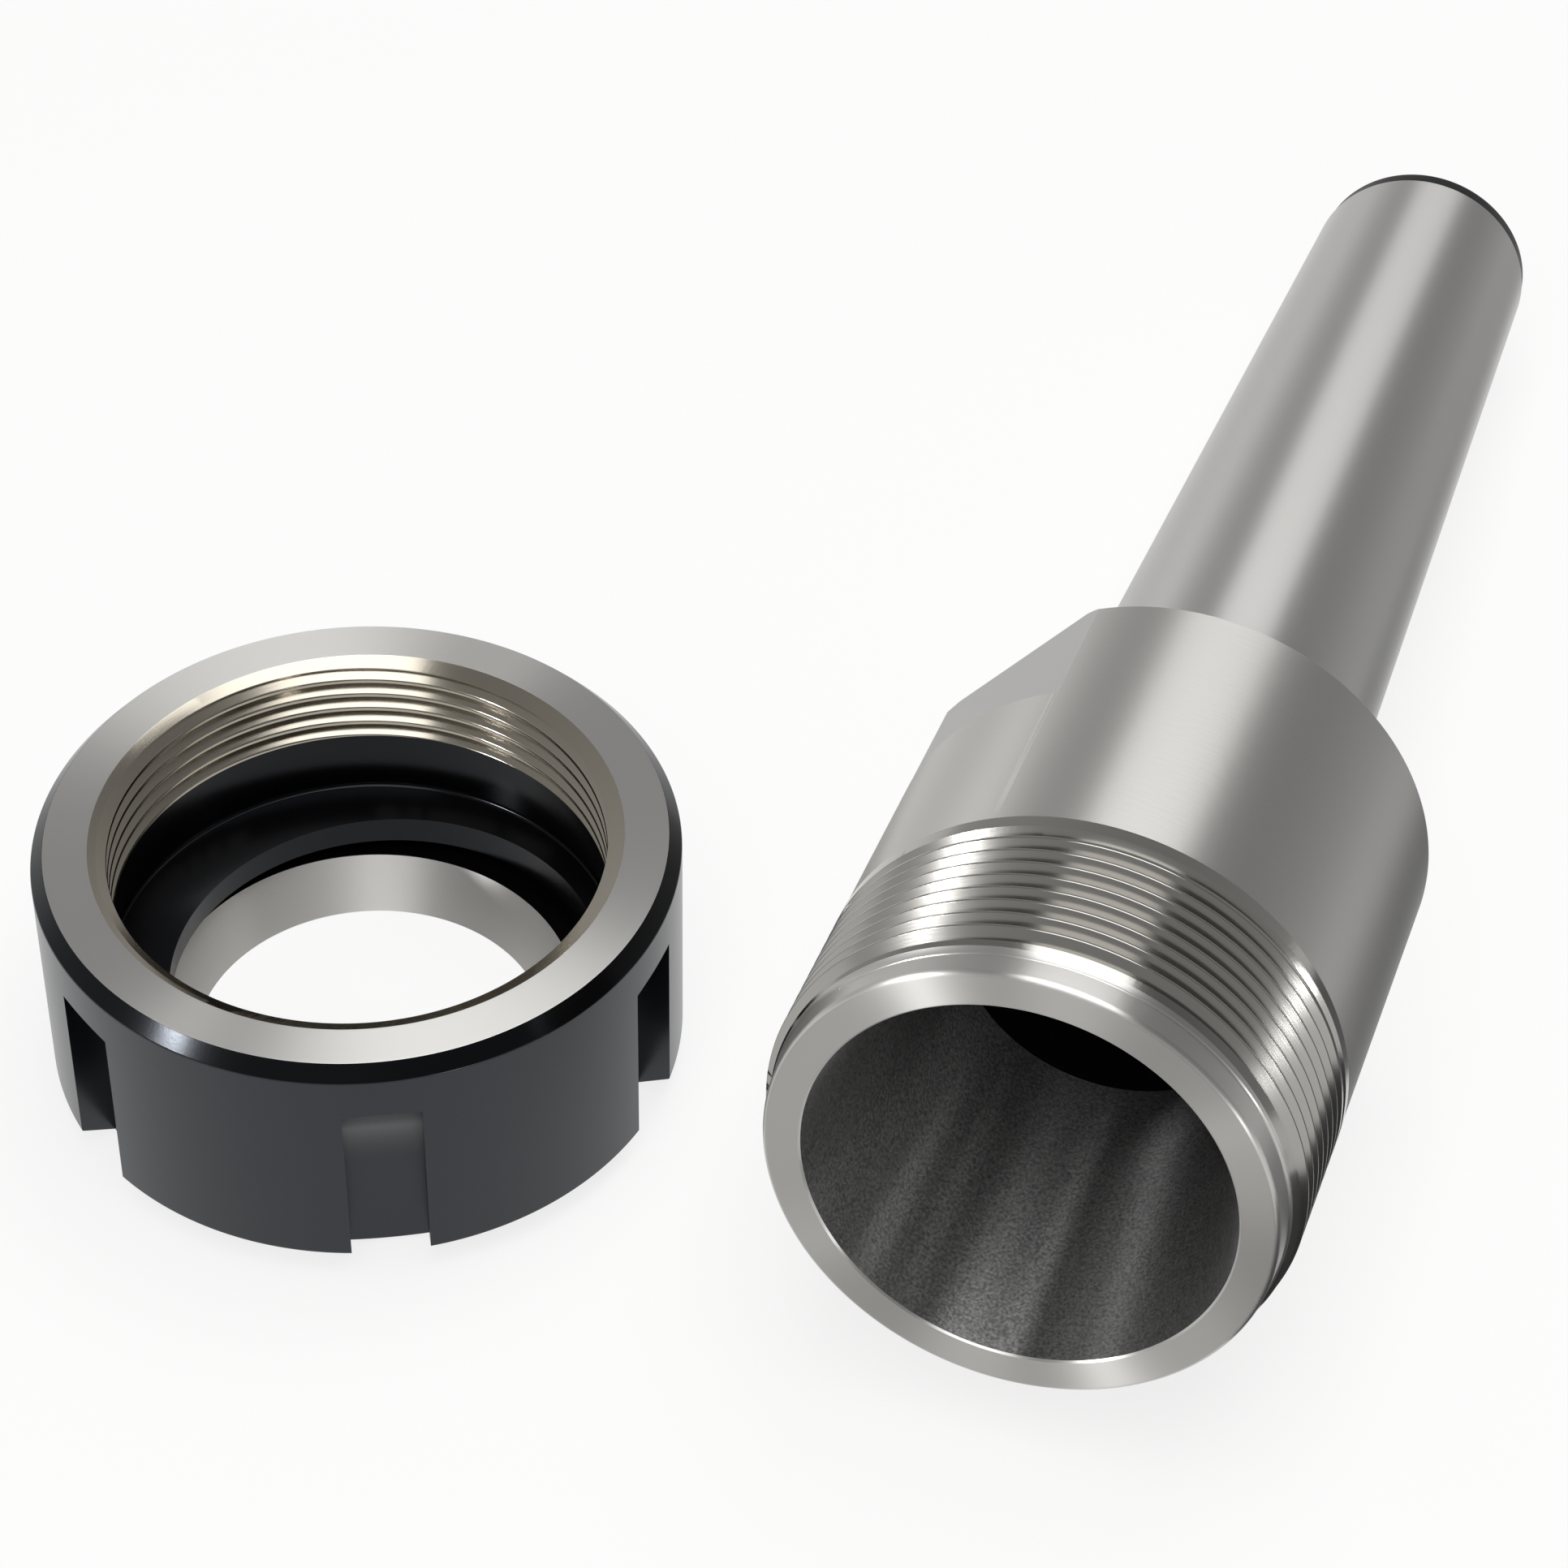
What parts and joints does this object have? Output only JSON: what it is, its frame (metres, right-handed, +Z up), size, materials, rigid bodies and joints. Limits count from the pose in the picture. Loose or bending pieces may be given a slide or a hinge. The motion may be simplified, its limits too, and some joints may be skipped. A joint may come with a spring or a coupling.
{
  "type": "collet chuck holder",
  "caption": "Collet chuck on a Morse taper shank, lying on its side, with its slotted clamping nut off and standing beside it.",
  "frame": {"origin": "centre of the bounding box, on the table that both pieces stand on", "axes": "+Y from the chuck's mouth toward the tail of its shank, level, +Z up, the nut stands on the -X side"},
  "size_m": [0.1036, 0.1424, 0.0442],
  "materials": {
    "ground_steel": "turned and ground bright",
    "blackened_steel": "chemically blackened, satin, with the ground faces bright"
  },
  "bodies": {
    "root": {"chuck_body": "ground_steel", "clamping_nut": "blackened_steel"}
  },
  "joints": []
}
